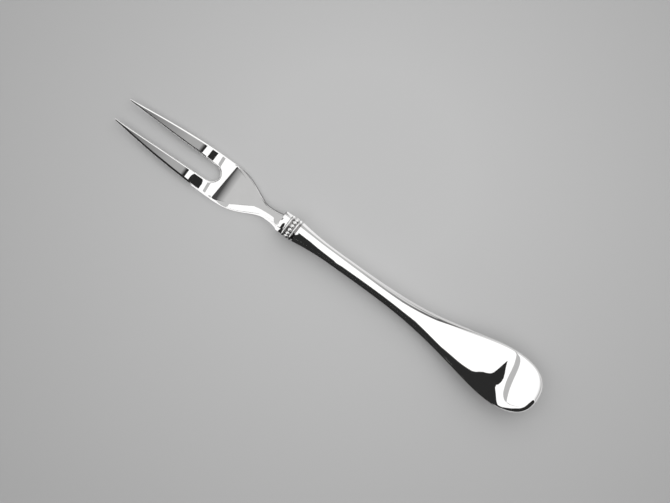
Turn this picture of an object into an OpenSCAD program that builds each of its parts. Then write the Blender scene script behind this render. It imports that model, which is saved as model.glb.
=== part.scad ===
// Two-tine meat fork with a forged head, a beaded collar and a hollow handle filled with cement.
// Lengths are in millimetres. X runs from the tine tips to the handle end, Z is up, and the fork lies on
// Z = 0.

/* [Head] */
// Length of the head from the tine tips to the front of the collar
head_length = 82.2; // [76:0.2:90]
// Distance between the two tine tips, middle to middle
tip_spread = 10.5; // [8.5:0.1:12]
// Width of one tine at its tip
tip_width = 0.5; // [0.4:0.1:1.2]
// Greatest width of the head
head_width = 18.6; // [15:0.2:24]
// Distance from the tips to the greatest width
head_widest_at = 52; // [46:0.5:56]
// Width of the slot between the tines at their roots
slot_width = 7.7; // [5.5:0.1:9]
// Distance from the tips to the round bottom of the slot
slot_depth = 50.4; // [40:0.1:52]
// Length of the rounding at the bottom of the slot
slot_round = 5; // [3:0.1:7]
// Thickness of a tine at its tip
tip_thickness = 0.9; // [0.6:0.1:1.5]
// Height of the underside of the tips above the surface that the fork lies on
tip_lift = 2.4; // [0:0.1:3]
// Height of the tops of the tines at their lowest place
hollow_height = 2.8; // [2.4:0.1:3.4]
// Distance from the tips to the lowest place on the tines
hollow_at = 27; // [20:0.5:29]
// Height of the crown where the tines begin to fall to the shoulder
crown_height = 2.85; // [2.4:0.05:3.6]
// Distance from the tips to the crown
crown_at = 35; // [30:0.5:40]
// Height of the crease across the shoulder
crease_height = 1.8; // [1.4:0.1:2.3]
// Distance from the tips to the crease across the shoulder
crease_at = 53.5; // [49.5:0.1:56]
// Height of the hollow under the tines
tine_arch = 1; // [0:0.1:1.5]

/* [Neck and tang] */
// Least width of the neck
neck_width = 5.5; // [4.5:0.1:7]
// Distance from the tips to the slimmest place on the neck
neck_at = 75.5; // [70:0.5:78]
// Width of the neck where it meets the collar
neck_root_width = 6.7; // [5.5:0.1:8]
// Distance from the tips to the back end of the flat underside
heel_end_at = 62; // [56:0.5:66]
// Height of the neck where it meets the collar
neck_height = 3.7; // [3.2:0.1:4.2]
// Diameter of the tang where it leaves the neck
tang_diameter = 2.4; // [2:0.1:2.8]
// Diameter of the tang at its end
tang_end_diameter = 1.6; // [1.2:0.1:2]
// Length of the tang behind the neck
tang_length = 46; // [30:1:60]
// Depth to which the tang is rooted in the neck
tang_root = 0.6; // [0.3:0.1:1]
// Metal of the neck above the tang
tang_cover = 0.15; // [0.1:0.05:0.3]

/* [Collar] */
// Diameter of the plain band
band_diameter = 9.1; // [8.8:0.1:9.5]
// Length of the plain band
band_length = 3.4; // [2.6:0.1:5]
// Radius of the rounded front corner of the plain band
band_corner = 0.6; // [0.2:0.1:0.6]
// Thickness of the front wall of the cap
cap_wall = 0.8; // [0.7:0.1:1.2]
// Diameter over a ring
ring_diameter = 9.6; // [9.3:0.1:10.4]
// Length of one ring
ring_length = 0.9; // [0.6:0.1:1.2]
// Width of the groove between the front ring and the beads
front_groove = 0.7; // [0.4:0.1:1.2]
// Width of the groove between the beads and the rear ring
middle_groove = 0.2; // [0.1:0.1:0.6]
// Width of the groove between the rear ring and the handle
rear_groove = 0.85; // [0.4:0.05:1.4]
// Number of beads round the collar
bead_count = 14; // [8:1:14]
// Diameter of one bead
bead_diameter = 1.75; // [1.2:0.05:1.75]
// Diameter of the sleeve under the rings and the beads
sleeve_diameter = 7.7; // [7.2:0.1:7.8]
// Diameter of the end of the sleeve that plugs into the handle
plug_diameter = 6.6; // [6.2:0.1:6.8]
// Wall of the end of the sleeve that plugs into the handle
plug_wall = 0.5; // [0.4:0.1:0.7]
// Length of the end of the sleeve that plugs into the handle
plug_length = 4; // [2:0.5:6]
// Height of the collar above the surface that the fork lies on
collar_lift = 0.15; // [0.05:0.05:1]

/* [Handle] */
// Length of the handle from the collar to the end
handle_length = 121.5; // [118:0.5:140]
// Width of the handle at its mouth
mouth_width = 9.2; // [8.6:0.1:9.6]
// Width and thickness of the stem at its slimmest place
stem_width = 6.4; // [6.2:0.1:7.5]
// Distance from the mouth to the slimmest place on the stem
waist_at = 20; // [16:1:30]
// Distance from the mouth to the place where the handle rests on the surface
belly_at = 62; // [55:1:75]
// Thickness of the handle where it rests on the surface
belly_thickness = 7.2; // [6.6:0.1:8]
// Greatest width of the handle end
end_width = 24.6; // [20:0.2:30]
// Greatest thickness of the handle end
end_thickness = 5.8; // [4:0.1:6.4]
// Distance from the mouth to the greatest width
end_widest_at = 105; // [98:1:110]
// Height by which the rim of the handle end is turned up
end_rise = 3.5; // [0:0.1:5]
// Distance from the mouth to the place where the rim is level again
end_level_at = 104; // [95:1:115]
// Thickness of the silver sheet of the shells
shell_wall = 0.6; // [0.4:0.1:0.8]

/* [Joints] */
// Gap that the solder or cement fills between two pieces
joint_gap = 0.05; // [0.02:0.01:0.08]

/* [Hidden] */
$fn = 48;

// Exponents of the curves: edge of a tine, edge of the slot, hollow of the tines, fall to the crease, side of
// the shoulder, rise of the neck, taper and swell of the handle, fall of its rim, and the rounding of its end
tine_curve = 1.95;
slot_curve = 1.5;
hollow_curve = 2;
crown_curve = 1.6;
shoulder_curve = 1.38;
neck_curve = 1.7;
taper_curve = 2.2;
swell_curve = 1.9;
fall_curve = 1.25;
end_curve = 2.4;

// Steps along one stretch of an outline, and along and across the handle
outline_steps = 8;
stretch_steps = 9;
section_steps = 16;
cement_steps = 12;

// Amount by which a cutting shape runs past the face that it cuts
cut_past = 1;

// Places along X, counted from the tine tips
cap_end_at = head_length + band_length;
front_ring_at = cap_end_at + joint_gap;
bead_at = front_ring_at + ring_length + front_groove + bead_diameter / 2;
rear_ring_at = bead_at + bead_diameter / 2 + middle_groove;
mouth_at = rear_ring_at + ring_length + rear_groove;
total_length = mouth_at + handle_length;

// Heights above the surface that the fork lies on
collar_height = ring_diameter / 2 + collar_lift;
belly_height = belly_thickness / 2;
sleeve_bore = plug_diameter - 2 * plug_wall;
tang_height = collar_height - (sleeve_bore - tang_diameter) / 2 + 2 * joint_gap;
neck_top = tang_height + tang_diameter / 2 + tang_cover;
blank_height = neck_top + crown_height;

bead_orbit = ring_diameter / 2 - bead_diameter / 2 + joint_gap;
mouth_bore = plug_diameter / 2 + joint_gap;
end_round = handle_length - end_widest_at;

// Smooth step from 0 to 1 with level ends
function ease(t) = t * t * (3 - 2 * t);

// Share of the way from one value to another
function blend(a, b, t) = a + (b - a) * t;

// Evenly spaced values from 0 to 1
function shares(steps) = [for (k = [0:steps]) k / steps];

// Outer edge of the head, half its width, in three stretches from the tips to the collar
function outer_edge() = concat(
    [for (t = shares(outline_steps))
        [t * head_widest_at,
         blend(head_width / 2, (tip_spread + tip_width) / 2, pow(1 - t, tine_curve))]],
    [for (t = shares(outline_steps))
        if (t > 0)
            [blend(head_widest_at, neck_at, t),
             blend(head_width / 2, neck_width / 2, ease(pow(t, shoulder_curve)))]],
    [for (t = shares(outline_steps))
        if (t > 0)
            [blend(neck_at, head_length - joint_gap, t), blend(neck_width / 2, neck_root_width / 2, t * t)]]
);

// Edge of the slot between the tines, half its width, from past the tips to the round bottom
slot_root_at = slot_depth - slot_round;
function slot_edge() = concat(
    [[-cut_past, (tip_spread - tip_width) / 2]],
    [for (t = shares(outline_steps))
        [t * slot_root_at,
         blend(slot_width / 2, (tip_spread - tip_width) / 2, pow(1 - t, slot_curve))]],
    [for (t = shares(outline_steps))
        if (t > 0 && t < 1)
            [slot_root_at + slot_round * sin(90 * t), slot_width / 2 * cos(90 * t)]],
    [[slot_depth, 0]]
);

// Closes half an outline with its mirror image in the X axis
function both_sides(half) = concat(half, [for (k = [len(half) - 1:-1:0]) [half[k][0], -half[k][1]]]);

// Upper side of the head seen from the side: hollowed tines, a crown, a crease and the rise to the neck
function head_top() = concat(
    [for (t = shares(outline_steps))
        [t * hollow_at, blend(hollow_height, tip_lift + tip_thickness, pow(1 - t, hollow_curve))]],
    [for (t = shares(outline_steps))
        if (t > 0)
            [blend(hollow_at, crown_at, t), blend(hollow_height, crown_height, pow(t, hollow_curve))]],
    [for (t = shares(outline_steps))
        if (t > 0)
            [blend(crown_at, crease_at, t), blend(crown_height, crease_height, pow(t, crown_curve))]],
    [for (t = shares(outline_steps))
        if (t > 0)
            [blend(crease_at, head_length - joint_gap, t),
             blend(crease_height, neck_top, pow(t, neck_curve))]]
);

// Underside of the head seen from the side: hollow under the tines, flat heel, and the rise to the neck
function head_underside() = concat(
    [for (t = shares(outline_steps))
        [t * slot_root_at, tip_lift * pow(1 - t, 2) + tine_arch * sin(180 * t)]],
    [for (t = shares(outline_steps))
        [blend(heel_end_at, head_length - joint_gap, t), (neck_top - neck_height) * t * t]]
);

function reversed(list) = [for (k = [len(list) - 1:-1:0]) list[k]];

// Half the width of the handle at a distance from its mouth, up to the greatest width
function handle_half_width(x) =
    x < waist_at
        ? blend(stem_width / 2, mouth_width / 2, pow(1 - x / waist_at, taper_curve))
        : blend(
            stem_width / 2, end_width / 2,
            ease(pow((x - waist_at) / (end_widest_at - waist_at), swell_curve))
        );

// Half the thickness of the handle at a distance from its mouth, up to the greatest width
function handle_half_thickness(x) =
    x < waist_at
        ? blend(stem_width / 2, mouth_width / 2, pow(1 - x / waist_at, taper_curve))
        : x < belly_at
            ? blend(stem_width / 2, belly_thickness / 2, ease((x - waist_at) / (belly_at - waist_at)))
            : blend(
                belly_thickness / 2, end_thickness / 2,
                ease((x - belly_at) / (end_widest_at - belly_at))
            );

// Height of the rim of the handle, where the two shells meet
function rim_height(x) =
    x < belly_at
        ? blend(belly_height, collar_height, pow(1 - x / belly_at, fall_curve))
        : belly_height + end_rise * ease(min((x - belly_at) / (end_level_at - belly_at), 1));

// Distances from the mouth of the sections of the handle, up to the greatest width
function stem_places(from) = concat(
    [for (t = shares(stretch_steps)) blend(from, waist_at, t)],
    [for (t = shares(stretch_steps)) if (t > 0) blend(waist_at, belly_at, t)],
    [for (t = shares(stretch_steps)) if (t > 0) blend(belly_at, end_widest_at, t)]
);

// Sections of the handle, inset by a depth: each is [distance from the mouth, half width, half thickness]
function stem_sections(from, inset, bore) = [
    for (x = stem_places(from))
        let (room = x < waist_at ? bore : end_width)
        [x, min(handle_half_width(x) - inset, room), min(handle_half_thickness(x) - inset, room)]
];
function end_sections(inset) = [
    for (t = shares(stretch_steps))
        if (t > 0 && t < 1)
            let (q = sin(90 * t), f = pow(1 - pow(q, end_curve), 1 / end_curve))
            [end_widest_at + (end_round - inset) * q, (end_width / 2 - inset) * f,
             (end_thickness / 2 - inset) * f]
];
function handle_sections(from, inset, bore) = concat(stem_sections(from, inset, bore), end_sections(inset));

// Half section of a shell above (side 1) or below (side -1) the rim
function half_ring(section, side) = [
    for (k = [0:section_steps])
        let (a = 180 * k / section_steps)
        [section[0], section[1] * cos(a),
         rim_height(section[0]) + side * (joint_gap / 2 + (section[2] - joint_gap / 2) * sin(a))]
];
function end_point(inset, side) =
    let (x = handle_length - inset) [x, 0, rim_height(x) + side * joint_gap / 2];

// Two triangles of a four-cornered face, with the corners in the order given
function two_triangles(a, b, c, d) = [[a, b, c], [a, c, d]];

// Moves its children to a place along the fork, on the axis of the collar, with Z turned along the fork
module on_collar(place) {
    translate([place - total_length / 2, 0, collar_height]) rotate([0, 90, 0]) children();
}

// Round wire ring with a half-round outside
module wire_ring() {
    inner = sleeve_diameter / 2 + joint_gap;
    crest = ring_length / 2;
    rotate_extrude() {
        translate([inner, 0]) square([ring_diameter / 2 - crest - inner, ring_length]);
        intersection() {
            translate([ring_diameter / 2 - crest, crest]) circle(r = crest);
            translate([inner, 0]) square([ring_diameter / 2, ring_length]);
        }
    }
}

// Half of the handle as a shell of sheet metal: side 1 is the upper half and side -1 the lower one
module half_shell(side) {
    outer = handle_sections(0, 0, end_width);
    inner = handle_sections(0, shell_wall, mouth_bore);
    rows = len(outer);
    row_points = section_steps + 1;
    outer_end = rows * row_points;
    inner_start = outer_end + 1;
    inner_end = inner_start + rows * row_points;
    last = rows - 1;
    points = concat(
        [for (s = outer) each half_ring(s, side)], [end_point(0, side)],
        [for (s = inner) each half_ring(s, side)], [end_point(shell_wall, side)]
    );
    function out(i, k) = i * row_points + k;
    function inn(i, k) = inner_start + i * row_points + k;
    faces = concat(
        [for (i = [0:last - 1], k = [0:section_steps - 1])
            each two_triangles(out(i, k), out(i + 1, k), out(i + 1, k + 1), out(i, k + 1))],
        [for (i = [0:last - 1], k = [0:section_steps - 1])
            each two_triangles(inn(i, k + 1), inn(i + 1, k + 1), inn(i + 1, k), inn(i, k))],
        [for (k = [0:section_steps - 1]) [out(last, k), outer_end, out(last, k + 1)]],
        [for (k = [0:section_steps - 1]) [inn(last, k + 1), inner_end, inn(last, k)]],
        [for (i = [0:last - 1]) each two_triangles(inn(i, 0), inn(i + 1, 0), out(i + 1, 0), out(i, 0))],
        [for (i = [0:last - 1])
            each two_triangles(
                out(i, section_steps), out(i + 1, section_steps),
                inn(i + 1, section_steps), inn(i, section_steps)
            )],
        two_triangles(inn(last, 0), inner_end, outer_end, out(last, 0)),
        two_triangles(out(last, section_steps), outer_end, inner_end, inn(last, section_steps)),
        [for (k = [0:section_steps - 1])
            each two_triangles(out(0, k), out(0, k + 1), inn(0, k + 1), inn(0, k))]
    );
    translate([mouth_at - total_length / 2, 0, 0])
        polyhedron(points, side > 0 ? faces : [for (f = faces) reversed(f)]);
}

module fork_head() {
    color("silver") {
        translate([-total_length / 2, 0, 0]) intersection() {
            linear_extrude(blank_height) difference() {
                polygon(both_sides(outer_edge()));
                polygon(both_sides(slot_edge()));
            }
            translate([0, head_width / 2 + cut_past, 0]) rotate([90, 0, 0])
                linear_extrude(head_width + 2 * cut_past)
                    polygon(concat(head_top(), reversed(head_underside())));
        }
        tang_start = head_length - joint_gap - tang_root;
        translate([tang_start - total_length / 2, 0, tang_height]) rotate([0, 90, 0]) {
            cylinder(d = tang_diameter, h = tang_root + joint_gap);
            translate([0, 0, tang_root + joint_gap])
                cylinder(d1 = tang_diameter, d2 = tang_end_diameter, h = tang_length);
        }
    }
}

module front_cap() {
    color("gainsboro") difference() {
        on_collar(head_length) rotate_extrude() {
            difference() {
                union() {
                    square([band_diameter / 2 - band_corner, band_length]);
                    translate([0, band_corner]) square([band_diameter / 2, band_length - band_corner]);
                    translate([band_diameter / 2 - band_corner, band_corner]) circle(r = band_corner);
                }
                translate([0, cap_wall]) square([sleeve_diameter / 2 + joint_gap, band_length]);
            }
        }
        translate([head_length - cut_past - total_length / 2, 0, tang_height]) rotate([0, 90, 0])
            cylinder(d = tang_diameter + 2 * joint_gap, h = cap_wall + 2 * cut_past);
    }
}

module collar_sleeve() {
    seat_at = head_length + cap_wall + joint_gap;
    seat_length = mouth_at - joint_gap - seat_at;
    plug_end = mouth_at + plug_length - seat_at;
    color("darkgray") on_collar(seat_at) rotate_extrude() {
        translate([sleeve_bore / 2, 0]) square([(sleeve_diameter - sleeve_bore) / 2, seat_length]);
        translate([sleeve_bore / 2, 0]) square([(plug_diameter - sleeve_bore) / 2, plug_end]);
    }
}

module front_ring() {
    color("whitesmoke") on_collar(front_ring_at) wire_ring();
}

module bead_row() {
    color("white") on_collar(bead_at) difference() {
        for (k = [0:bead_count - 1])
            rotate([0, 0, 360 * k / bead_count]) translate([bead_orbit, 0, 0]) sphere(d = bead_diameter);
        cylinder(d = sleeve_diameter + 2 * joint_gap, h = 2 * bead_diameter, center = true);
    }
}

module rear_ring() {
    color("whitesmoke") on_collar(rear_ring_at) wire_ring();
}

module handle_upper_shell() {
    color("gainsboro") half_shell(1);
}

module handle_lower_shell() {
    color("lightgray") half_shell(-1);
}

module handle_cement() {
    inset = shell_wall + joint_gap;
    start = plug_length + joint_gap;
    rows = handle_sections(start, inset, mouth_bore - joint_gap);
    last = len(rows) - 1;
    end_index = len(rows) * cement_steps;
    points = concat(
        [for (s = rows, k = [0:cement_steps - 1])
            let (a = 360 * k / cement_steps) [s[0], s[1] * cos(a), rim_height(s[0]) + s[2] * sin(a)]],
        [end_point(inset, 0)]
    );
    function at(i, k) = i * cement_steps + k % cement_steps;
    faces = concat(
        [for (i = [0:last - 1], k = [0:cement_steps - 1])
            each two_triangles(at(i, k), at(i + 1, k), at(i + 1, k + 1), at(i, k + 1))],
        [for (k = [0:cement_steps - 1]) [at(last, k), end_index, at(last, k + 1)]],
        [[for (k = [0:cement_steps - 1]) k]]
    );
    front_at = head_length + cap_wall + joint_gap;
    color("tan") difference() {
        union() {
            translate([mouth_at - total_length / 2, 0, 0]) polyhedron(points, faces);
            on_collar(front_at)
                cylinder(d = sleeve_bore - 2 * joint_gap, h = mouth_at + start - front_at + joint_gap);
        }
        translate([head_length - total_length / 2, 0, tang_height]) rotate([0, 90, 0])
            cylinder(
                d1 = tang_diameter + 2 * joint_gap, d2 = tang_end_diameter + 2 * joint_gap,
                h = tang_length + joint_gap
            );
    }
}

fork_head();
front_cap();
collar_sleeve();
front_ring();
bead_row();
rear_ring();
handle_upper_shell();
handle_lower_shell();
handle_cement();
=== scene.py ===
"""Looks of a two-tine meat fork: a forged head, a beaded collar and a hollow handle, in a plain photo studio.

Sizes in the classes are millimetres. X runs from the tine tips to the handle end, Z is up, and the fork lies
on Z = 0.
"""

import logging
from dataclasses import dataclass
from enum import Enum

import bpy
import numpy as np
from mathutils import Matrix, Vector


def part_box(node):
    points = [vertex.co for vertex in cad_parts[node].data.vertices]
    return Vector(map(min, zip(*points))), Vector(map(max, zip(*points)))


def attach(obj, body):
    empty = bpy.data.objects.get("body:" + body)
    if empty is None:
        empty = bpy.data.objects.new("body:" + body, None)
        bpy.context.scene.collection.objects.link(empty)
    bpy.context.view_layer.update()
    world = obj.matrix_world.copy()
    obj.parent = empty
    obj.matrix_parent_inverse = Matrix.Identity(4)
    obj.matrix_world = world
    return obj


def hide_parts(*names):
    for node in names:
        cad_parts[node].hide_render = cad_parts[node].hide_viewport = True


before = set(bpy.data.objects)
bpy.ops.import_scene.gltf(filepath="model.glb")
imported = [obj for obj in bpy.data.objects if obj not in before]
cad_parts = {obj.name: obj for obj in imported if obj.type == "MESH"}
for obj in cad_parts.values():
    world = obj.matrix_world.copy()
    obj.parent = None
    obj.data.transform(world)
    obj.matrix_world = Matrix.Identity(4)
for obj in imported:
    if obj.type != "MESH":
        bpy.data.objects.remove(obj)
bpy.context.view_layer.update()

LOG = logging.getLogger("meat_fork")
METRE = 0.001
BODY = "root"

# Decimals to which points and sections are rounded, and the distance under which two places are one
WELD_DIGITS = 4
SECTION_DIGITS = 6
SAME_PLACE = 1e-6

# Range that most of a noise value lies in, and the stretch of noise that is alike along all axes
NOISE = (0.3, 0.7)
EVEN = (1.0, 1.0, 1.0)

# Sizes that more than one piece shares
JOINT_GAP = 0.05
TANG_DIAMETER = 2.4
TANG_HEIGHT = 3.45
COLLAR_HEIGHT = 4.95

# Share of a side that a round of smoothing cuts off at each corner of a card
CORNER_CUT = 0.25

Array = np.ndarray
Socket = bpy.types.NodeSocket
Piece = bpy.types.Object
Pair = tuple[float, float]
Triple = tuple[float, float, float]
Outline = tuple[Pair, ...]


class Side(Enum):
    """Half of the handle that a shell covers."""

    UPPER = 1
    LOWER = -1


class Axis(Enum):
    """Axis of the fork along which a card fades."""

    ALONG = "X"
    ACROSS = "Y"


class Tone(Enum):
    """Brightness of a studio card, or of an end of its fade."""

    WHITE = 1.12
    BRIGHT = 0.95
    PALE = 0.66
    GREY = 0.565
    SEAM = 0.50
    DIM = 0.45
    TINE = 0.40
    LINE = 0.22
    TIP = 0.17
    FAINT = 0.12
    GAP = 0.065
    DARK = 0.024


def ease(t: Array) -> Array:
    """Smooth step from 0 to 1 with level ends: three t squared minus two t cubed."""
    return t * t * (3 - 2 * t)


def blend(start: float | Array, end: float | Array, share: float | Array) -> Array:
    """Value at a share of the way from start to end."""
    return start + (end - start) * share


def share_of(x: Array, start: float, end: float) -> Array:
    """Share of the way that x has gone from start to end, held between 0 and 1."""
    return np.clip((x - start) / (end - start), 0.0, 1.0)


def node_box(node: str) -> tuple[Array, Array]:
    """Lowest and highest corner of a node of the frame, in millimetres."""
    low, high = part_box(node)
    return np.array(low) / METRE, np.array(high) / METRE


def placed(name: str, data: bpy.types.ID) -> Piece:
    """Puts a mesh or a camera into the scene.

    Args:
        name: Name of the object.
        data: The mesh or camera.

    Returns:
        The object, at the origin.
    """
    thing = bpy.data.objects.new(name, data)
    bpy.context.scene.collection.objects.link(thing)
    return thing


class Skin:
    """Closed surface that is put together from grids of points and welded where they meet."""

    def __init__(self) -> None:
        """Starts with no grids."""
        self.points: list[Array] = []
        self.quads: list[Array] = []
        self.count = 0

    def add(self, grid: Array, flip: bool = False) -> None:
        """Adds a grid of points.

        Args:
            grid: Points in millimetres, as rows by columns by three.
            flip: Turns the faces, which otherwise look along the cross product of the rows' way and the
                columns' way.
        """
        rows, columns = grid.shape[:2]
        index = self.count + np.arange(rows * columns).reshape(rows, columns)
        corners = (index[:-1, :-1], index[1:, :-1], index[1:, 1:], index[:-1, 1:])
        quads = np.stack([corner.ravel() for corner in corners], axis=1)
        self.quads.append(quads[:, ::-1] if flip else quads)
        self.points.append(grid.reshape(-1, 3))
        self.count += rows * columns

    def welded(self) -> tuple[Array, Array, Array]:
        """Merges points that lie in one place, and turns quads with a collapsed side into triangles.

        Returns:
            Points in millimetres, quads and triangles.
        """
        points = np.round(np.concatenate(self.points), WELD_DIGITS) + 0.0
        points, place = np.unique(points, axis=0, return_inverse=True)
        quads = place.ravel()[np.concatenate(self.quads)]
        whole = (np.diff(np.sort(quads, axis=1), axis=1) > 0).all(axis=1)
        split = np.concatenate([quads[~whole][:, [0, 1, 2]], quads[~whole][:, [0, 2, 3]]])
        real = (np.diff(np.sort(split, axis=1), axis=1) > 0).all(axis=1)
        return points, quads[whole], split[real]

    def build(self, name: str, sharp_angle: float) -> Piece:
        """Makes the object.

        Args:
            name: Name of the piece.
            sharp_angle: Angle in degrees past which an edge is shown sharp.

        Returns:
            The object, at the origin, with its place in its mesh.
        """
        points, quads, triangles = self.welded()
        mesh = bpy.data.meshes.new(name)
        mesh.from_pydata(points * METRE, [], quads.tolist() + triangles.tolist())
        mesh.shade_smooth()
        mesh.set_sharp_from_angle(angle=np.radians(sharp_angle))
        return placed(name, mesh)


def lathe(profile: Array, centre: Array, steps: int) -> Array:
    """Grid of a profile turned about an axis along X: each point of it goes round a circle.

    Args:
        profile: Points along the axis and away from it, as rows of (x, radius).
        centre: Y and Z of the axis.
        steps: Steps round the axis.

    Returns:
        Points as rows along the profile by columns round the axis by three.
    """
    turn = np.linspace(0, 2 * np.pi, steps + 1)
    x = np.repeat(profile[:, :1], steps + 1, axis=1)
    y = centre[0] + profile[:, 1:] * np.sin(turn)
    z = centre[1] + profile[:, 1:] * np.cos(turn)
    return np.stack([x, y, z], axis=2)


def arc(centre: Pair, radius: float, start: float, end: float, steps: int) -> Array:
    """Points on a circular arc, from one angle in degrees to another, as rows of two."""
    angle = np.radians(np.linspace(start, end, steps + 1))
    return np.stack([centre[0] + radius * np.cos(angle), centre[1] + radius * np.sin(angle)], axis=1)


class Nodes:
    """Short way to add the nodes of a material and link them."""

    def __init__(self, name: str) -> None:
        """Starts a material with only its output.

        Args:
            name: Name of the material.
        """
        self.material = bpy.data.materials.new(name)
        self.material.use_nodes = True
        self.tree = self.material.node_tree
        self.tree.nodes.clear()
        self.output = self.tree.nodes.new("ShaderNodeOutputMaterial")

    def add(self, kind: str, settings: dict[str, object] | None = None, **sockets: object) -> bpy.types.Node:
        """Adds a node.

        Args:
            kind: Blender's name of the node without its ShaderNode start.
            settings: Properties of the node to set.
            **sockets: Values or outputs for its inputs, with underscores for the spaces in their names.

        Returns:
            The node.
        """
        node = self.tree.nodes.new("ShaderNode" + kind)
        for key, value in (settings or {}).items():
            setattr(node, key, value)
        for key, value in sockets.items():
            socket = node.inputs[key.replace("_", " ")]
            if isinstance(value, Socket):
                self.tree.links.new(value, socket)
            else:
                socket.default_value = value
        return node

    def noise(self, stretch: Triple, scale: float, detail: float) -> Socket:
        """Noise on Object coordinates.

        Args:
            stretch: Factor on the coordinate along each axis.
            scale: Scale of the noise, about its waves to a metre.
            detail: Number of finer layers.

        Returns:
            Output with the noise value.
        """
        place = self.add("TexCoord").outputs["Object"]
        mapped = self.add("Mapping", Vector=place, Scale=stretch).outputs["Vector"]
        return self.add("TexNoise", Vector=mapped, Scale=scale, Detail=detail).outputs["Fac"]

    def span(self, value: Socket, old: Pair, new: Pair = (0.0, 1.0)) -> Socket:
        """Carries a value from its old range over to a new one, and holds it there."""
        sockets = {"From_Min": old[0], "From_Max": old[1], "To_Min": new[0], "To_Max": new[1]}
        return self.add("MapRange", Value=value, **sockets).outputs["Result"]

    def tints(self, value: Socket, low: Triple, high: Triple) -> Socket:
        """Colour between two tints by a noise value.

        Args:
            value: Output with the noise value.
            low: Tint where the noise is low.
            high: Tint where the noise is high.

        Returns:
            Output with the colour.
        """
        ramp = self.add("ValToRGB", Fac=value)
        for stop, position, tint in zip(ramp.color_ramp.elements, NOISE, (low, high)):
            stop.position = position
            stop.color = (*tint, 1.0)
        return ramp.outputs["Color"]

    def finish(self, shader: bpy.types.Node) -> bpy.types.Material:
        """Links the shader to the output and gives the material."""
        self.tree.links.new(shader.outputs[0], self.output.inputs["Surface"])
        return self.material


@dataclass(frozen=True)
class Silver:
    """Polished silver with soft clouds in its tint and faint polishing lines along the fork."""

    name: str
    bright: Triple
    dull: Triple
    gloss: Pair
    line_strength: float
    cloud_scale: float = 160.0
    cloud_detail: float = 3.0
    line_scale: float = 900.0
    line_detail: float = 2.0
    line_depth: float = 0.01
    line_stretch: Triple = (0.06, 1.0, 1.0)

    def tint(self, nodes: Nodes, clouds: Socket) -> Socket:
        """Colour of the metal between its dull and its bright tint."""
        return nodes.tints(clouds, self.dull, self.bright)

    def material(self) -> bpy.types.Material:
        """Metal whose tint follows clouds, with roughness and a bump from fine lines.

        Returns:
            The material.
        """
        nodes = Nodes(self.name)
        clouds = nodes.noise(EVEN, self.cloud_scale, self.cloud_detail)
        lines = nodes.noise(self.line_stretch, self.line_scale, self.line_detail)
        depth = METRE * self.line_depth
        bump = nodes.add("Bump", Height=lines, Strength=self.line_strength, Distance=depth)
        shader = nodes.add(
            "BsdfPrincipled",
            Base_Color=self.tint(nodes, clouds),
            Roughness=nodes.span(lines, NOISE, self.gloss),
            Metallic=1.0,
            Normal=bump.outputs["Normal"],
        )
        return nodes.finish(shader)


@dataclass(frozen=True)
class GroovedSilver(Silver):
    """Silver of turned and beaded work, with a dark tint in the grooves round an axis along the fork:
    tarnishing together with painted shade.
    """

    axis_height: float = COLLAR_HEIGHT
    groove_radius: float = 3.85
    crest_radius: float = 4.5
    # Dark tint in the grooves: tarnishing together with painted shade in the recesses.
    groove_tarnish_and_shade: Triple = (0.26, 0.25, 0.25)

    def tint(self, nodes: Nodes, clouds: Socket) -> Socket:
        """Silver's own tint on the crests, and a dark tint of tarnishing and painted shade where the distance
        from the axis is small.

        Args:
            nodes: Nodes of the material.
            clouds: Output with the noise value of the clouds.

        Returns:
            Output with the colour.
        """
        place = nodes.add("TexCoord").outputs["Object"]
        axis = (0.0, 0.0, -self.axis_height * METRE)
        across = nodes.add("Mapping", Vector=place, Location=axis, Scale=(0.0, 1.0, 1.0)).outputs["Vector"]
        radius = nodes.add("VectorMath", {"operation": "LENGTH"}, Vector=across).outputs["Value"]
        # Painted shade with tarnishing: darker as the distance from the axis falls towards the groove
        # bottoms.
        crest = nodes.span(radius, (self.groove_radius * METRE, self.crest_radius * METRE))
        silver = super().tint(nodes, clouds)
        return nodes.add("MixRGB", Fac=crest, Color1=(*self.groove_tarnish_and_shade, 1.0), Color2=silver).outputs["Color"]


@dataclass(frozen=True)
class Cement:
    """Brown resin cement with sand grains, which fills the handle."""

    name: str = "resin_cement"
    pale: Triple = (0.42, 0.33, 0.22)
    dark: Triple = (0.20, 0.14, 0.08)
    gloss: Pair = (0.7, 0.95)
    grain_scale: float = 1400.0
    grain_detail: float = 6.0
    grain_strength: float = 0.6
    grain_depth: float = 0.2

    def material(self) -> bpy.types.Material:
        """Matte mix of two browns with a grainy bump.

        Returns:
            The material.
        """
        nodes = Nodes(self.name)
        grain = nodes.noise(EVEN, self.grain_scale, self.grain_detail)
        depth = METRE * self.grain_depth
        bump = nodes.add("Bump", Height=grain, Strength=self.grain_strength, Distance=depth)
        shader = nodes.add(
            "BsdfPrincipled",
            Base_Color=nodes.tints(grain, self.dark, self.pale),
            Roughness=nodes.span(grain, NOISE, self.gloss),
            Normal=bump.outputs["Normal"],
        )
        return nodes.finish(shader)


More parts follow.
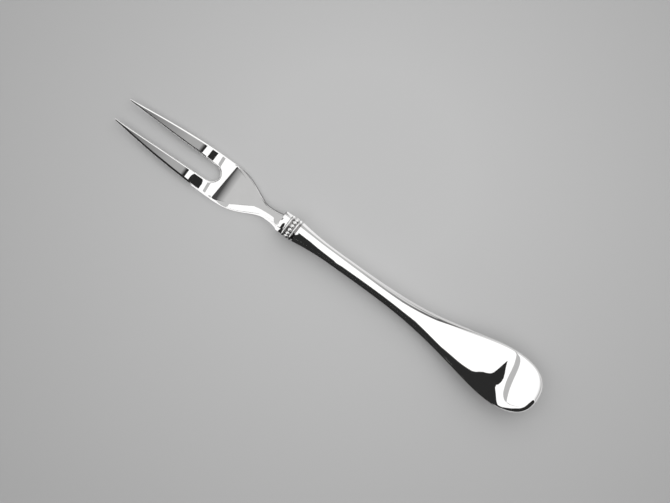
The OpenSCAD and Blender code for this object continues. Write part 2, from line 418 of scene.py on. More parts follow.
@dataclass(frozen=True)
class Paper:
    """Pale grey paper of the floor, with a faint mottle in its gloss and a painted fall-off of light that
    darkens it slowly away from the fork.

    The centre and the ends of the painted fall-off of light are metres.
    """

    name: str = "floor_paper"
    # Ends of the painted light fall-off: pale near the fork, dark further off.
    pale: Triple = (0.585, 0.585, 0.585)
    dark: Triple = (0.43, 0.43, 0.43)
    gloss: Pair = (0.85, 0.95)
    mottle_scale: float = 40.0
    mottle_detail: float = 4.0
    centre: Triple = (-0.01, 0.04, 0.0)
    painted_light_fall_start: float = 0.045
    painted_light_fall_end: float = 0.20

    def material(self) -> bpy.types.Material:
        """Matte paper whose tone follows the distance from a place by the fork: painted light, pale near it
        and darker further off.

        Returns:
            The material.
        """
        nodes = Nodes(self.name)
        mottle = nodes.noise(EVEN, self.mottle_scale, self.mottle_detail)
        place = nodes.add("TexCoord").outputs["Object"]
        away = nodes.add("VectorMath", {"operation": "DISTANCE"}, Vector=place)
        away.inputs[1].default_value = self.centre
        # Painted light: the paper darkens from pale to dark with the distance from the centre.
        share = nodes.span(away.outputs["Value"], (self.painted_light_fall_start, self.painted_light_fall_end))
        tone = nodes.add("MixRGB", Fac=share, Color1=(*self.pale, 1.0), Color2=(*self.dark, 1.0))
        shader = nodes.add(
            "BsdfPrincipled",
            Base_Color=tone.outputs["Color"],
            Roughness=nodes.span(mottle, NOISE, self.gloss),
            Specular_IOR_Level=0.0,
        )
        return nodes.finish(shader)


def dress(piece: Piece, finish: Silver, node: str) -> None:
    """Gives a piece its finish and ties it to the frame.

    Args:
        piece: The object.
        finish: Its finish.
        node: Node of the frame that it stands for.
    """
    known = bpy.data.materials.get(finish.name)
    piece.data.materials.append(known or finish.material())
    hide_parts(node)
    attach(piece, BODY)
    LOG.info("%s: %d faces for node %s", piece.name, len(piece.data.polygons), node)


@dataclass
class ForkHead:
    """Forged head: two tines, a creased shoulder, a neck and the tang that runs into the handle.

    Places along the head are distances from the tips. The counts of sections say how many stand along each
    stretch of it.
    """

    finish: Silver
    tip_spread: float = 10.5
    tip_width: float = 0.5
    tip_round: float = 0.6
    tip_thickness: float = 0.9
    tip_lift: float = 2.4
    tine_curve: float = 1.95
    widest_at: float = 52.0
    slot_width: float = 7.7
    slot_depth: float = 50.4
    slot_round: float = 5.0
    slot_curve: float = 1.5
    hollow_height: float = 2.8
    hollow_at: float = 27.0
    crown_height: float = 2.85
    crown_at: float = 35.0
    crown_curve: float = 1.6
    crease_height: float = 1.8
    crease_at: float = 53.0
    crease_slant: float = 0.06
    crease_reach: float = 1.6
    crease_gap: float = 0.05
    tine_arch: float = 1.0
    shoulder_curve: float = 1.5
    neck_width: float = 5.5
    neck_at: float = 75.5
    neck_root_width: float = 7.4
    neck_flare: int = 3
    neck_top: float = 4.8
    neck_height: float = 3.7
    neck_curve: float = 1.7
    heel_end_at: float = 62.0
    dome_radius: float = 190.0
    edge_reach: float = 0.75
    edge_spread: float = 0.22
    edge_drop: float = 0.42
    edge_share_tine: float = 0.45
    edge_share_shoulder: float = 0.95
    edge_share_thickness: float = 0.7
    neck_drop: float = 0.75
    low_round: float = 0.35
    tang_end_diameter: float = 1.6
    tip_sections: int = 9
    tine_sections: int = 110
    slot_sections: int = 33
    lip_sections: int = 14
    lip_reach: float = 1.2
    lip_curve: float = 1.5
    saddle_sections: int = 16
    shoulder_sections: int = 80
    neck_sections: int = 26
    across_steps: int = 32
    wall_steps: int = 6
    slant_rounds: int = 3
    slope_step: float = 0.01
    sharp_angle: float = 50.0

    def __post_init__(self) -> None:
        """Takes the overall sizes from the frame."""
        low, high = node_box("fork_head")
        self.start = low[0]
        self.width = high[1] - low[1]
        self.tang_end = high[0] - low[0]
        self.length = node_box("front_cap")[0][0] - self.start - JOINT_GAP
        self.slot_root = self.slot_depth - self.slot_round

    def outer(self, x: Array) -> Array:
        """Half width of the head: tines that swell to the shoulder, an eased fall to the neck, and its flare.

        Args:
            x: Distances from the tips.

        Returns:
            Half width at each.
        """
        swell = (1 - share_of(x, 0.0, self.widest_at)) ** self.tine_curve
        tine = blend(self.width / 2, (self.tip_spread + self.tip_width) / 2, swell)
        fall = ease(share_of(x, self.widest_at, self.neck_at) ** self.shoulder_curve)
        shoulder = blend(self.width / 2, self.neck_width / 2, fall)
        flare = share_of(x, self.neck_at, self.length) ** self.neck_flare
        neck = blend(self.neck_width / 2, self.neck_root_width / 2, flare)
        return np.where(x < self.widest_at, tine, np.where(x < self.neck_at, shoulder, neck))

    def inner(self, x: Array) -> Array:
        """Half width of the slot: narrows along the tines, then a quarter of an ellipse, then none.

        Args:
            x: Distances from the tips.

        Returns:
            Half width at each.
        """
        spread = (1 - share_of(x, 0.0, self.slot_root)) ** self.slot_curve
        side = blend(self.slot_width / 2, (self.tip_spread - self.tip_width) / 2, spread)
        depth = share_of(x, self.slot_root, self.slot_depth)
        return np.where(x < self.slot_root, side, self.slot_width / 2 * np.sqrt(1 - depth**2))

    def top(self, x: Array) -> Array:
        """Height of the upper side: hollowed tines, a crown, the fall to the crease and the rise to the neck.

        Args:
            x: Distances from the tips.

        Returns:
            Height at each.
        """
        tip_share = (1 - share_of(x, 0.0, self.hollow_at)) ** 2
        tip = blend(self.hollow_height, self.tip_lift + self.tip_thickness, tip_share)
        tine = blend(self.hollow_height, self.crown_height, share_of(x, self.hollow_at, self.crown_at) ** 2)
        fall_share = share_of(x, self.crown_at, self.crease_at) ** self.crown_curve
        fall = blend(self.crown_height, self.crease_height, fall_share)
        rise_share = share_of(x, self.crease_at, self.length) ** self.neck_curve
        rise = blend(self.crease_height, self.neck_top, rise_share)
        front = np.where(x < self.hollow_at, tip, tine)
        return np.where(x < self.crown_at, front, np.where(x < self.crease_at, fall, rise))

    def underside(self, x: Array) -> Array:
        """Height of the lower side: an arch under the tines, a flat heel and the rise to the neck.

        Args:
            x: Distances from the tips.

        Returns:
            Height at each.
        """
        along = share_of(x, 0.0, self.slot_root)
        tine = self.tip_lift * (1 - along) ** 2 + self.tine_arch * np.sin(np.pi * along)
        neck = (self.neck_top - self.neck_height) * share_of(x, self.heel_end_at, self.length) ** 2
        return np.where(x < self.slot_root, tine, neck)

    def stations(self) -> Array:
        """Places of the sections: close together at the tips, round the slot's bottom and at the crease.

        Returns:
            Distances from the tips.
        """
        quarter = np.pi / 2
        tip = self.tip_round * (1 - np.cos(np.linspace(0, quarter, self.tip_sections)))
        tines = np.linspace(self.tip_round, self.slot_root, self.tine_sections)
        bottom = self.slot_root + self.slot_round * np.sin(np.linspace(0, quarter, self.slot_sections))
        lip_share = np.linspace(0, self.lip_reach, self.lip_sections) ** self.lip_curve
        lip = self.slot_depth + self.edge_reach * lip_share
        saddle = np.linspace(lip[-1], self.crease_at - self.crease_gap, self.saddle_sections)
        shoulder = np.linspace(self.crease_at + self.crease_gap, self.neck_at, self.shoulder_sections)
        neck = np.linspace(self.neck_at, self.length, self.neck_sections)
        places = np.concatenate([tip, tines, bottom, lip, saddle, shoulder, neck])
        return np.unique(np.round(places, SECTION_DIGITS))

    def edge_distance(self, x: Array, y: Array) -> Array:
        """Distance of a point of the plan from the nearest edge, first order from the edges' slopes.

        Args:
            x: Distances from the tips.
            y: Distances from the middle.

        Returns:
            Distance of each point.
        """
        step = self.slope_step
        outer_slope = (self.outer(x + step) - self.outer(x - step)) / (2 * step)
        outer = (self.outer(x) - y) / np.hypot(1, outer_slope)
        inner_slope = (self.inner(x) - self.inner(x - step)) / step
        side = (y - self.inner(x)) / np.hypot(1, inner_slope)
        along = (x - self.slot_root) / self.slot_round
        across = y / (self.slot_width / 2)
        slope = 2 * np.hypot(along / self.slot_round, across / (self.slot_width / 2))
        round_end = (along**2 + across**2 - 1) / np.maximum(slope, step)
        return np.minimum(outer, np.where(x < self.slot_root, side, round_end))

    def fall(self, distance: Array, reach: Array, drop: Array) -> Array:
        """Fall of a face near its edge: a quarter of an ellipse, reach long and drop deep."""
        depth = np.clip(1 - np.maximum(distance, 0) / reach, 0, 1)
        return drop * (1 - np.sqrt(1 - depth**2))

    def rounding(self, station: Array, x: Array, y: Array) -> Array:
        """Fall of the upper face at its edges: narrow and shallow on the tines, all across on the neck.

        Args:
            station: Places of the sections.
            x: Places of the points.
            y: Their distances from the middle.

        Returns:
            Fall of each point.
        """
        behind = np.maximum(station - self.crease_at, 0)
        share = np.where(station < self.slot_depth, self.edge_share_tine, self.edge_share_shoulder)
        room = share * (self.outer(station) - self.inner(station))
        reach = np.minimum(self.edge_reach + self.edge_spread * behind, room)
        to_neck = ease(share_of(station, self.crease_at, self.neck_at))
        steep = blend(self.edge_drop, self.neck_drop, to_neck)
        thickness = self.top(station) - self.underside(station)
        drop = np.minimum(steep * reach, self.edge_share_thickness * thickness)
        return self.fall(self.edge_distance(x, y), reach, drop)

    def half(self, sign: int) -> tuple[Array, Array, Array, Array]:
        """Grids of one half of the head.

        A section runs from the slot, or the middle, to the outer edge, and slants a little near the crease.
        Both faces fall away near an edge by a quarter of an ellipse, the upper one is domed across by a
        parabola, and each section shrinks to a point at the tip.

        Args:
            sign: 1 for the half on the far side and -1 for the near one.

        Returns:
            Upper face, lower face, outer wall and slot wall.
        """
        station = self.stations()[:, None]
        share = (1 - np.cos(np.linspace(0, np.pi, self.across_steps + 1)))[None] / 2
        near_crease = np.exp(-(((station - self.crease_at) / self.crease_reach) ** 2))
        x = station + 0 * share
        for _ in range(self.slant_rounds):
            y = blend(self.inner(x), self.outer(x), share)
            x = station + sign * self.crease_slant * y * near_crease
        upper = self.top(station) - y**2 / (2 * self.dome_radius) - self.rounding(station, x, y)
        low_round = self.low_round + 0 * station
        lower = self.underside(station) + self.fall(self.edge_distance(x, y), low_round, low_round)
        lower = np.minimum(lower, upper)
        closing = np.sqrt(1 - (1 - share_of(station, 0.0, self.tip_round)) ** 2)
        middle_y = (self.inner(station) + self.outer(station)) / 2
        middle_z = (self.top(station) + self.underside(station)) / 2
        y = blend(middle_y, y, closing)
        upper = blend(middle_z, upper, closing)
        lower = blend(middle_z, lower, closing)
        top_face = np.stack([x + self.start, sign * y, upper], axis=2)
        low_face = np.stack([x + self.start, sign * y, lower], axis=2)
        down = np.linspace(0, 1, self.wall_steps + 1)[None, :, None]
        outer_wall = blend(top_face[:, -1:], low_face[:, -1:], down)
        slot_rows = station[:, 0] <= self.slot_depth + SAME_PLACE
        slot_wall = blend(top_face[slot_rows, :1], low_face[slot_rows, :1], down)
        return top_face, low_face, outer_wall, slot_wall

    def tang(self, loop: Array) -> Array:
        """Grid of the tang: the neck's end face drawn in to a circle, a cone, and its end drawn in to a tip.

        Args:
            loop: Points round the end of the neck, with the first one again at the end.

        Returns:
            Points as rows along the tang by columns round it by three.
        """
        angle = np.arctan2(loop[:, 1], loop[:, 2] - TANG_HEIGHT)
        around = np.stack([0 * angle, np.sin(angle), np.cos(angle)], axis=1)
        root = np.array([self.start + self.length, 0.0, TANG_HEIGHT])
        end = np.array([self.start + self.tang_end, 0.0, TANG_HEIGHT])
        root_ring = root + around * TANG_DIAMETER / 2
        end_ring = end + around * self.tang_end_diameter / 2
        return np.stack([loop, root_ring, end_ring, end + 0 * around])

    def build(self) -> None:
        """Puts the grids together and dresses the head."""
        skin = Skin()
        rims = []
        for sign in (1, -1):
            top_face, low_face, outer_wall, slot_wall = self.half(sign)
            mirrored = sign < 0
            skin.add(top_face, mirrored)
            skin.add(low_face, not mirrored)
            skin.add(outer_wall, mirrored)
            skin.add(slot_wall, not mirrored)
            rims.append(np.concatenate([top_face[-1], outer_wall[-1, 1:], low_face[-1, -2::-1]]))
        skin.add(self.tang(np.concatenate([rims[0], rims[1][-2::-1]])))
        dress(skin.build("head_forged", self.sharp_angle), self.finish, "fork_head")


@dataclass
class Collar:
    """Collar between head and handle: a plain cap, a sleeve, two wire rings and a row of beads."""

    plain: Silver
    finish: GroovedSilver
    band_corner: float = 0.6
    band_roll: float = 0.12
    cap_wall: float = 0.8
    sleeve_diameter: float = 7.7
    plug_diameter: float = 6.6
    plug_wall: float = 0.5
    plug_length: float = 4.0
    bead_count: int = 14
    bead_diameter: float = 1.75
    bead_front_groove: float = 0.35
    bead_rear_groove: float = 0.1
    round_steps: int = 96
    corner_steps: int = 10
    roll_steps: int = 4
    bow_steps: int = 16
    bead_tilt_steps: int = 16
    bead_turn_steps: int = 24
    sharp_angle: float = 35.0
    bead_sharp_angle: float = 60.0

    def __post_init__(self) -> None:
        """Takes the axis from the frame."""
        low, high = node_box("front_ring")
        self.centre = np.array([0.0, (low[2] + high[2]) / 2])
        self.ring_radius = (high[2] - low[2]) / 2
        self.bore = self.sleeve_diameter / 2 + JOINT_GAP

    def cap(self) -> Piece:
        """Cap: a turned cup with a rounded front corner, a thin rolled rear edge and a hole for the tang.

        Returns:
            The piece.
        """
        low, high = node_box("front_cap")
        radius = (high[2] - low[2]) / 2
        corner, roll = self.band_corner, self.band_roll
        outside = np.concatenate(
            [
                arc((low[0] + corner, radius - corner), corner, 180, 90, self.corner_steps),
                arc((high[0] - roll, radius - roll), roll, 90, 0, self.roll_steps),
                [[high[0], self.bore], [low[0] + self.cap_wall, self.bore]],
            ]
        )
        skin = Skin()
        skin.add(lathe(outside, self.centre, self.round_steps))
        rim, floor = lathe(outside[[0, -1]], self.centre, self.round_steps)
        hole = np.array([[low[0], TANG_DIAMETER / 2 + JOINT_GAP]])
        edge = lathe(hole, np.array([0.0, TANG_HEIGHT]), self.round_steps)[0]
        back = edge + np.array([self.cap_wall, 0.0, 0.0])
        skin.add(np.stack([floor, back, edge, rim]))
        return skin.build("collar_cap", self.sharp_angle)

    def sleeve(self) -> Piece:
        """Sleeve: a turned tube with a stepped end that plugs into the handle.

        Returns:
            The piece.
        """
        low, high = node_box("collar_sleeve")
        outer, plug = self.sleeve_diameter / 2, self.plug_diameter / 2
        bore, step = plug - self.plug_wall, high[0] - self.plug_length - JOINT_GAP
        profile = [[low[0], bore], [low[0], outer], [step, outer], [step, plug]]
        profile += [[high[0], plug], [high[0], bore], [low[0], bore]]
        skin = Skin()
        skin.add(lathe(np.array(profile), self.centre, self.round_steps))
        return skin.build("collar_tube", self.sharp_angle)

    def ring(self, node: str) -> Piece:
        """Wire ring: a profile with a half-round outside and a flat bore, turned about the axis.

        Args:
            node: Node of the ring that it stands for.

        Returns:
            The piece.
        """
        low, high = node_box(node)
        crest = (high[0] - low[0]) / 2
        bow = arc((low[0] + crest, self.ring_radius - crest), crest, 180, 0, self.bow_steps)
        front, rear = [[low[0], self.bore]], [[high[0], self.bore]]
        skin = Skin()
        skin.add(lathe(np.concatenate([front, bow, rear, front]), self.centre, self.round_steps))
        return skin.build(node + "_wire", self.sharp_angle)

    def beads(self) -> Piece:
        """Row of beads: ovals set round the sleeve between the rings, each flattened where it is soldered on.

        Returns:
            The piece.
        """
        front = node_box("front_ring")[1][0] + self.bead_front_groove
        rear = node_box("rear_ring")[0][0] - self.bead_rear_groove
        radius = self.bead_diameter / 2
        orbit = self.ring_radius - radius + JOINT_GAP
        tilt = np.linspace(0, np.pi, self.bead_tilt_steps + 1)[:, None]
        turn = np.linspace(0, 2 * np.pi, self.bead_turn_steps + 1)[None]
        out = orbit + radius * np.cos(tilt) + 0 * turn
        along = (front + rear) / 2 + (rear - front) / 2 * np.sin(tilt) * np.cos(turn)
        across = radius * np.sin(tilt) * np.sin(turn)
        out = np.maximum(out, np.sqrt(np.maximum(self.bore**2 - across**2, 0)))
        skin = Skin()
        for angle in np.arange(self.bead_count) * 2 * np.pi / self.bead_count:
            y = across * np.cos(angle) - out * np.sin(angle)
            z = across * np.sin(angle) + out * np.cos(angle)
            skin.add(np.stack([along, y, z + self.centre[1]], axis=2))
        return skin.build("bead_band", self.bead_sharp_angle)

    def build(self) -> None:
        """Builds and dresses the pieces of the collar."""
        dress(self.cap(), self.plain, "front_cap")
        dress(self.sleeve(), self.finish, "collar_sleeve")
        dress(self.ring("front_ring"), self.finish, "front_ring")
        dress(self.beads(), self.finish, "bead_row")
        dress(self.ring("rear_ring"), self.finish, "rear_ring")


@dataclass
class Handle:
    """Hollow handle: two pressed shells that are soldered along the rim, and the cement that fills them.

    Places along the handle are distances from its mouth.
    """

    finish: Silver
    filling: Cement
    mouth_width: float = 9.2
    stem_width: float = 6.4
    waist_at: float = 20.0
    belly_at: float = 62.0
    belly_thickness: float = 7.2
    end_thickness: float = 5.8
    end_widest_at: float = 105.0
    end_level_at: float = 104.0
    end_rise: float = 3.5
    end_curve: float = 2.4
    taper_curve: float = 2.2
    swell_curve: float = 1.9
    fall_curve: float = 1.25
    shell_wall: float = 0.6
    mouth_bore: float = 3.35
    stem_steps: int = 200
    end_steps: int = 48
    section_steps: int = 64
    sharp_angle: float = 40.0

    def __post_init__(self) -> None:
        """Takes the overall sizes from the frame."""
        low, high = node_box("handle_upper_shell")
        self.mouth_at = low[0]
        self.length = high[0] - low[0]
        self.end_width = high[1] - low[1]

    def taper(self, x: Array) -> Array:
        """Half width and half thickness from the mouth to the waist."""
        share = (1 - share_of(x, 0.0, self.waist_at)) ** self.taper_curve
        return blend(self.stem_width / 2, self.mouth_width / 2, share)

    def half_width(self, x: Array) -> Array:
        """Half width: a taper from the mouth to the waist, then an eased swell to the end.

        Args:
            x: Distances from the mouth.

        Returns:
            Half width at each.
        """
        swell = ease(share_of(x, self.waist_at, self.end_widest_at) ** self.swell_curve)
        end = blend(self.stem_width / 2, self.end_width / 2, swell)
        return np.where(x < self.waist_at, self.taper(x), end)

    def half_thickness(self, x: Array) -> Array:
        """Half thickness: a taper to the waist, a slight swell to the belly, then thinner to the end.

        Args:
            x: Distances from the mouth.

        Returns:
            Half thickness at each.
        """
        swell = ease(share_of(x, self.waist_at, self.belly_at))
        stem = blend(self.stem_width / 2, self.belly_thickness / 2, swell)
        thin = ease(share_of(x, self.belly_at, self.end_widest_at))
        end = blend(self.belly_thickness / 2, self.end_thickness / 2, thin)
        return np.where(x < self.waist_at, self.taper(x), np.where(x < self.belly_at, stem, end))

    def rim(self, x: Array) -> Array:
        """Height of the rim: falls from the collar to the belly and is turned up towards the end.

        Args:
            x: Distances from the mouth.

        Returns:
            Height at each.
        """
        low = self.belly_thickness / 2
        fall = blend(low, COLLAR_HEIGHT, (1 - share_of(x, 0.0, self.belly_at)) ** self.fall_curve)
        rise = low + self.end_rise * ease(share_of(x, self.belly_at, self.end_level_at))
        return np.where(x < self.belly_at, fall, rise)

    def surface(self, side: Side, inset: float) -> Array:
        """Grid of one side of a shell: half ellipses along the handle, closing at the end by a superellipse.

        Args:
            side: Upper or lower half.
            inset: Depth of the surface under the outside.

        Returns:
            Points as rows along the handle by columns across by three.
        """
        stem = np.linspace(0, self.end_widest_at, self.stem_steps + 1)
        push = np.sin(np.linspace(0, np.pi / 2, self.end_steps + 1))[1:]
        room = np.where(stem < self.waist_at, self.mouth_bore if inset else np.inf, np.inf)
        width = np.minimum(self.half_width(stem) - inset, room)
        thick = np.minimum(self.half_thickness(stem) - inset, room)
        close = np.maximum(1 - push**self.end_curve, 0) ** (1 / self.end_curve)
        x = np.concatenate([stem, self.end_widest_at + (self.length - self.end_widest_at - inset) * push])
        width = np.concatenate([width, width[-1] * close])[:, None]
        thick = np.concatenate([thick, thick[-1] * close])[:, None]
        angle = np.linspace(0, np.pi, self.section_steps + 1)[None]
        lift = JOINT_GAP / 2 + np.maximum(thick - JOINT_GAP / 2, 0) * np.sin(angle)
        y = width * np.cos(angle)
        z = self.rim(x)[:, None] + side.value * lift
        return np.stack([x[:, None] + self.mouth_at + 0 * y, y, z], axis=2)

    def shell(self, side: Side) -> Piece:
        """Shell of sheet metal: an outside, an inside, and strips that join them at the rim and the mouth.

        Args:
            side: Upper or lower half.

        Returns:
            The piece.
        """
        outside, inside = self.surface(side, 0.0), self.surface(side, self.shell_wall)
        flip = side is Side.UPPER
        skin = Skin()
        skin.add(outside, flip)
        skin.add(inside, not flip)
        skin.add(np.stack([inside[:, 0], outside[:, 0]], axis=1), flip)
        skin.add(np.stack([outside[:, -1], inside[:, -1]], axis=1), flip)
        skin.add(np.stack([inside[0], outside[0]]), flip)
        return skin.build("shell_" + side.name.lower(), self.sharp_angle)

    def build(self) -> None:
        """Builds and dresses the shells, and dresses the cement."""
        dress(self.shell(Side.UPPER), self.finish, "handle_upper_shell")
        dress(self.shell(Side.LOWER), self.finish, "handle_lower_shell")
        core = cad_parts["handle_cement"]
        core.data.materials.clear()
        core.data.materials.append(self.filling.material())
        LOG.info("%s: node of the frame with %s", core.name, self.filling.name)


@dataclass(frozen=True)
class Fade:
    """Straight change of brightness along one axis of the fork, in millimetres from start to end."""

    axis: Axis
    start: float
    end: float
    first: Tone
    last: Tone


@dataclass(frozen=True)
class Card:
    """Level studio card that shines on the fork, evenly or with a fade.

    Corners are X and Y in millimetres. Each round of smoothing cuts every corner off at a share of its sides.
    """

    name: str
    tone: Tone
    height: float
    corners: Outline
    fade: Fade | None = None
    rounds: int = 0

    def outline(self) -> Array:
        """Corners after the rounds of smoothing.

        Returns:
            Points as rows of three.
        """
        points = np.array(self.corners, dtype=float)
        for _ in range(self.rounds):
            after = np.roll(points, -1, axis=0)
            cuts = [blend(points, after, CORNER_CUT), blend(points, after, 1 - CORNER_CUT)]
            points = np.stack(cuts, axis=1).reshape(-1, 2)
        return np.column_stack([points, np.full(len(points), self.height)])

    def material(self) -> bpy.types.Material:
        """Light of the card, with its strength from the Object coordinate where it fades.

        Returns:
            The material.
        """
        nodes = Nodes(self.name)
        strength = self.tone.value
        if self.fade:
            place = nodes.add("SeparateXYZ", Vector=nodes.add("TexCoord").outputs["Object"])
            along = place.outputs[self.fade.axis.value]
            stretch = (self.fade.start * METRE, self.fade.end * METRE)
            strength = nodes.span(along, stretch, (self.fade.first.value, self.fade.last.value))
        return nodes.finish(nodes.add("Emission", Strength=strength))

    def build(self, mirror_only: bool) -> None:
        """Hangs the card, hidden from the camera.

        Args:
            mirror_only: Shows the card in the silver alone, so that the floor's light stays as it is.
        """
        points = self.outline()
        mesh = bpy.data.meshes.new(self.name)
        mesh.from_pydata(points * METRE, [], [list(range(len(points)))])
        mesh.materials.append(self.material())
        card = placed(self.name, mesh)
        card.visible_camera = False
        card.visible_diffuse = not mirror_only
        card.visible_shadow = not mirror_only


def band(x0: float, x1: float, y0: float, y1: float) -> Outline:
    """Corners of a straight card between two places along and two across the fork."""
    return ((x0, y0), (x1, y0), (x1, y1), (x0, y1))


@dataclass
class Studio:
    """Pale paper floor, soft light from cards overhead, and the camera.

    The cards hang at a few heights: at the ceiling, low over the fork, close over its edges, just over the
    slot, and a skin above the floor.
    """

    paper: Paper
    ceiling: float = 1200.0
    low: float = 60.0
    close: float = 20.0
    slot_height: float = 8.0
    over_slot: float = 9.0
    floor_skim: float = 0.6
    reach: float = 2600.0
    floor_reach: float = 3000.0
    horizon: float = 20000.0
    surround: float = 0.7
    lens: float = 80.0
    sensor: float = 36.0
    near_clip: float = 10.0
    lean_along: float = 0.05
    lean_near: float = -0.19
    roll: float = 35.8734
    distance: float = 627.24
    target: Triple = (1.908, 3.347, 0.0)

    def floor(self) -> None:
        """Lays the paper floor under the fork."""
        reach = self.floor_reach * METRE
        corners = [(x, y, 0.0) for x, y in band(-reach, reach, -reach, reach)]
        mesh = bpy.data.meshes.new("floor")
        mesh.from_pydata(corners, [], [[0, 1, 2, 3]])
        mesh.materials.append(self.paper.material())
        placed("floor", mesh)

    def ceiling_cards(self) -> list[Card]:
        """White panel over the handle, fading to the right and the near side, and a grey one over the head.

        Returns:
            The cards.
        """
        z, far = self.ceiling, self.reach
        grey_end, gap_start, gap_end, right = -330, -260, -188, 750
        nearest, near, head_far, right_far = -700, -350, 560, 250
        to_right = Fade(Axis.ALONG, 1050, 1900, Tone.WHITE, Tone.DIM)
        to_near = Fade(Axis.ACROSS, -1900, -1400, Tone.DARK, Tone.WHITE)
        to_gap = Fade(Axis.ALONG, grey_end, gap_start, Tone.GREY, Tone.GAP)
        return [
            Card("panel_main", Tone.WHITE, z, band(gap_end, right, near, far)),
            Card("panel_left_near", Tone.WHITE, z, band(-far, right, nearest, near)),
            Card("panel_right", Tone.WHITE, z, band(right, far, right_far, far), to_right),
            Card("panel_right_near", Tone.WHITE, z, band(right, far, nearest, right_far)),
            Card("panel_near", Tone.WHITE, z, band(-far, far, -3 * far, nearest), to_near),
            Card("panel_left_far", Tone.WHITE, z, band(-far, gap_end, head_far, far)),
            Card("panel_left", Tone.GREY, z, band(-far, grey_end, near, head_far)),
            Card("panel_left_fade", Tone.GREY, z, band(grey_end, gap_start, near, head_far), to_gap),
            Card("panel_left_gap", Tone.GAP, z, band(gap_start, gap_end, near, head_far)),
        ]

    def tine_cards(self) -> list[Card]:
        """Small cards over the tines: shades along their tops and their slot, and dark flags at their roots.

        Returns:
            The cards.
        """
        z, slot = self.close, self.slot_height
        top_end, dark_end = -72.4, -69.5
        far_in, far_out, near_out, near_in = 7.9, 14.1, -6.9, -1.5
        far_top = ((-110, 8.9), (-90, 8), (top_end, far_in), (top_end, far_out), (-90, 13), (-110, 10.3))
        near_top = ((-110, -3.5), (-90, -5.5), (top_end, near_out), (top_end, near_in), (-90, -2.1))
        near_top += ((-110, -2.6),)
        near_edge = ((-115, -3.6), (-110, -3.6), (-90, -5.6), (-66, -7.2), (-66, -400), (-115, -400))
        slot_far = ((-108, 0.1), (-66, 0.1), (-66, 4.9), (-108, 5.6))
        slot_near = ((-108, -4), (-58, -3.3), (-58, 0), (-108, 0))
        lighten = Fade(Axis.ALONG, -102, -79, Tone.TIP, Tone.TINE)
        darken = Fade(Axis.ALONG, top_end, -70.6, Tone.TINE, Tone.DARK)
        return [
            Card("far_tine_top", Tone.SEAM, z, far_top, lighten),
            Card("near_tine_top", Tone.SEAM, z, near_top, lighten),
            Card("far_tine_end", Tone.DARK, z, band(top_end, dark_end, far_in, far_out), darken),
            Card("near_tine_end", Tone.DARK, z, band(top_end, dark_end, near_out, near_in), darken),
            Card("near_tine_edge", Tone.DARK, z, near_edge),
            Card("far_tine_edge", Tone.WHITE, self.low, band(-130, -72, 29, 400)),
            Card("far_tine_slot", Tone.DARK, slot, slot_far),
            Card("near_tine_slot", Tone.WHITE, slot, slot_near),
            Card("flag_near_tine", Tone.DARK, z, band(-67.1, -60.3, -18, 0.2), rounds=1),
            Card("flag_far_tine", Tone.DARK, z, band(-66.2, -62.8, 4, 15)),
        ]

    def neck_cards(self) -> list[Card]:
        """Cards over the shoulder and the neck: a stripe, a grey field, white near it and a far line.

        Returns:
            The cards.
        """
        z, skim, far, out = self.close, self.floor_skim, self.reach, self.floor_reach
        stripe = ((-57.8, -9), (-56.4, -9), (-58.6, 15), (-60.3, 15))
        grey = ((-54, 50), (-54, 17), (-52.4, 15), (-49.8, 13), (-49.8, -2), (-51.5, -5.5), (-54, -8.5))
        grey += ((-53.3, -14), (-51.5, -24), (-48.5, -40), (-42, -75), (-36.5, -75), (-41, -38))
        grey += ((-43.5, -24.5), (-46.2, -15.4), (-47.8, -11), (-49, -7.5), (-47.3, -6.2), (-45.1, -4))
        grey += ((-42.9, -3.3), (-38.4, -2.4), (-34.4, -1.5), (-34, -4), (-30, -4), (-30, 50))
        white = ((-57.5, -60), (-56.5, -14), (-54, -7), (-28.5, -5), (-24, -40), (-12, -85), (-4, -130))
        white += ((-60, -400), (-760, -far), (-out, -far), (-300, -400))
        end = ((-28.7, 1), (-28.5, -3), (-28.8, -6.5), (-31, -14), (-28, -14), (-25.5, -6), (-25.5, 1))
        near = ((-45, -13), (-24, -14), (-24, -120), (-60, -400), (-200, -400), (-80, -100), (-39.5, -44))
        near += ((-44.5, -17),)
        floor_line = ((-53, 2), (-24.5, 2), (-25.2, 6.2), (-28, 16), (-28, 300), (-53, 300))
        glow = ((-64, -2), (-22.7, -2), (-22.7, -100), (-900, -far), (-out, -far), (-64, -60))
        return [
            Card("stripe_shoulder", Tone.SEAM, z, stripe),
            Card("shoulder_grey", Tone.GREY, z, grey),
            Card("neck_light", Tone.WHITE, self.low, white),
            Card("neck_end", Tone.GREY, self.slot_height, end),
            Card("neck_near", Tone.WHITE, self.over_slot, near),
            Card("neck_line", Tone.LINE, z, band(-53, -33, 50.5, far)),
            Card("neck_floor", Tone.LINE, skim, floor_line),
            Card("neck_glow", Tone.WHITE, skim, glow),
        ]

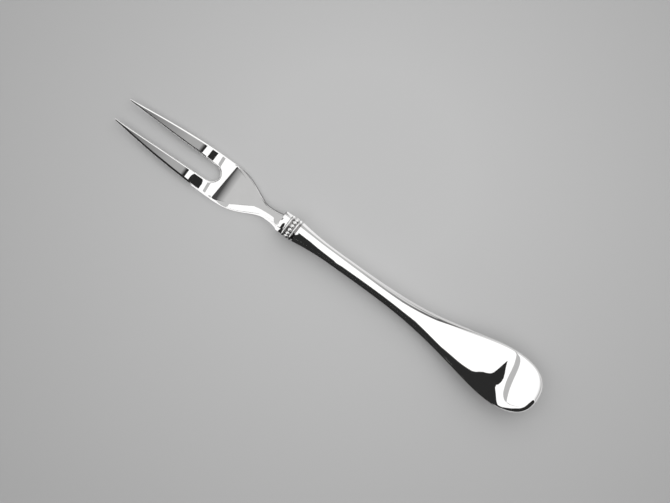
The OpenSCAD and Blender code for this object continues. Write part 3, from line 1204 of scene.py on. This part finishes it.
    def handle_cards(self) -> list[Card]:
        """Cards over the collar and the handle: a dark mass on the near side, a seam and a far line.

        Returns:
            The cards.
        """
        z, skim, far, deep = self.low, self.floor_skim, self.reach, -self.horizon
        apex = (89, 31)
        mass = ((4, -55), (20, -55.5), (37, -62), (43, -52), (47, -42), (52, -34), (58, -28), (65, -21))
        mass += ((71, -16), (77, -5), (82, -1), (85, 3), (87, 13), apex, apex, (91, 20), (94, 9), (94, -4))
        mass += ((92, -8), (95, -19), (104, -55), (150, -220), (6400, deep), (-6400, deep), (-60, -400))
        mass += ((4, -150),)
        flare = ((-8.7, -5), (-4.5, -7.5), (-1.6, -13.5), (4.2, -23), (8, -60), (20, -400), (-4, -400))
        flare += ((-6.2, -35),)
        seam = ((76, 280), (93, 100), (95, 28), (95.4, 10), (97, -2), (100, -15), (108, -27), (131, -23))
        seam += ((131, -21.5), (110, -29), (105, -15), (101.4, -2), (99.7, 11), (98.7, 29), (97, 100))
        seam += ((82, 280),)
        oval = ((-21.6, -5.5), (-20.4, -5.5), (-19.2, -14), (-18.6, -24), (-18, -41), (-16.6, -93))
        oval += ((-13, -200), (-30, -200), (-26.5, -93), (-24.4, -41), (-23.6, -24), (-23.2, -14))
        wall = ((0, 400), (27.4, 175), (47.5, 49.3), (46.8, 39.1), (45.2, 32.2), (41.4, 26.4), (37.4, 23.9))
        wall += ((28.9, 30.1), (20.2, 50.9), (10, 157), (4, 400))
        line = ((-11, 17), (-5.4, 21.7), (4, 21.4), (12.3, 16.4), (20.7, 12.7), (29.2, 10.2), (37.6, 9.9))
        line += ((41.8, 11.9), (45.9, 14.9), (48.6, 18.5), (51.2, 22.3), (52.8, 31.9), (52.8, 47.7))
        line += ((40, 400), *wall, (-11, 400))
        end = ((1330, 230), (1000, 80), (1040, -400), (660, -620), (560, -1700), (5000, -5000), (5000, 230))
        floor_near = ((-22.6, -2), (92, -2), (2400, deep), (-6300, deep), (-22.6, -120))
        floor_far = ((-24.4, 2), (66, 2), (66, far), (-26, far), (-26, 10), (-25, 6.3))
        darken = Fade(Axis.ALONG, 15, 49, Tone.SEAM, Tone.FAINT)
        dim = Fade(Axis.ALONG, -15, 40, Tone.BRIGHT, Tone.PALE)
        return [
            Card("mass_dark", Tone.DARK, z, mass, rounds=1),
            Card("flare_dark", Tone.DARK, z / 2, flare),
            Card("seam", Tone.SEAM, z, seam, rounds=2),
            Card("collar_dark", Tone.DARK, z / 2, oval),
            Card("far_line", Tone.SEAM, self.close, line, darken),
            Card("far_wall", Tone.PALE, self.close, wall),
            Card("end_dark", Tone.DARK, self.ceiling - z, end, rounds=1),
            Card("floor_dark", Tone.DARK, skim, floor_near),
            Card("floor_light", Tone.PALE, skim, floor_far, dim),
        ]

    def light(self) -> None:
        """Sets the even surround and hangs the cards: the ceiling also lights the floor, the others don't."""
        world = bpy.data.worlds.new("surround")
        bpy.context.scene.world = world
        world.use_nodes = True
        shade = world.node_tree.nodes["Background"]
        shade.inputs["Color"].default_value = (1.0, 1.0, 1.0, 1.0)
        shade.inputs["Strength"].default_value = self.surround
        for card in self.ceiling_cards():
            card.build(mirror_only=False)
        for card in self.tine_cards() + self.neck_cards() + self.handle_cards():
            card.build(mirror_only=True)

    def camera(self) -> None:
        """Sets the camera over the fork: leaned a little to the near side and rolled."""
        back = Vector((self.lean_along, self.lean_near, 1.0)).normalized()
        level = Vector((np.cos(np.radians(self.roll)), np.sin(np.radians(self.roll)), 0.0))
        right = (level - back * level.dot(back)).normalized()
        up = back.cross(right)
        lens = bpy.data.cameras.new("camera")
        lens.lens = self.lens
        lens.sensor_width = self.sensor
        lens.clip_start = self.near_clip * METRE
        camera = placed("camera", lens)
        turn = Matrix((right, up, back)).transposed().to_4x4()
        place = (Vector(self.target) + back * self.distance) * METRE
        camera.matrix_world = Matrix.Translation(place) @ turn
        bpy.context.scene.camera = camera

    def build(self) -> None:
        """Builds the floor, the light and the camera."""
        self.floor()
        self.light()
        self.camera()
        bpy.context.scene.view_settings.view_transform = "Standard"


def main() -> None:
    """Builds the studio and the fork."""
    logging.basicConfig(level=logging.INFO, format="%(message)s")
    bright, dull, worn = (0.95, 0.945, 0.94), (0.92, 0.915, 0.91), (0.90, 0.895, 0.89)
    forged = Silver("forged_polish", bright, dull, gloss=(0.01, 0.035), line_strength=0.03)
    plain = Silver("cap_polish", bright, dull, gloss=(0.02, 0.05), line_strength=0.03)
    turned = GroovedSilver("bead_polish", bright, worn, gloss=(0.02, 0.05), line_strength=0.03)
    sheet_bright, sheet_dull = (0.96, 0.955, 0.95), (0.94, 0.935, 0.93)
    pressed = Silver("sheet_polish", sheet_bright, sheet_dull, gloss=(0.01, 0.03), line_strength=0.02)
    Studio(Paper()).build()
    ForkHead(forged).build()
    Collar(plain, turned).build()
    Handle(pressed, Cement()).build()


if __name__ == "__main__":
    main()
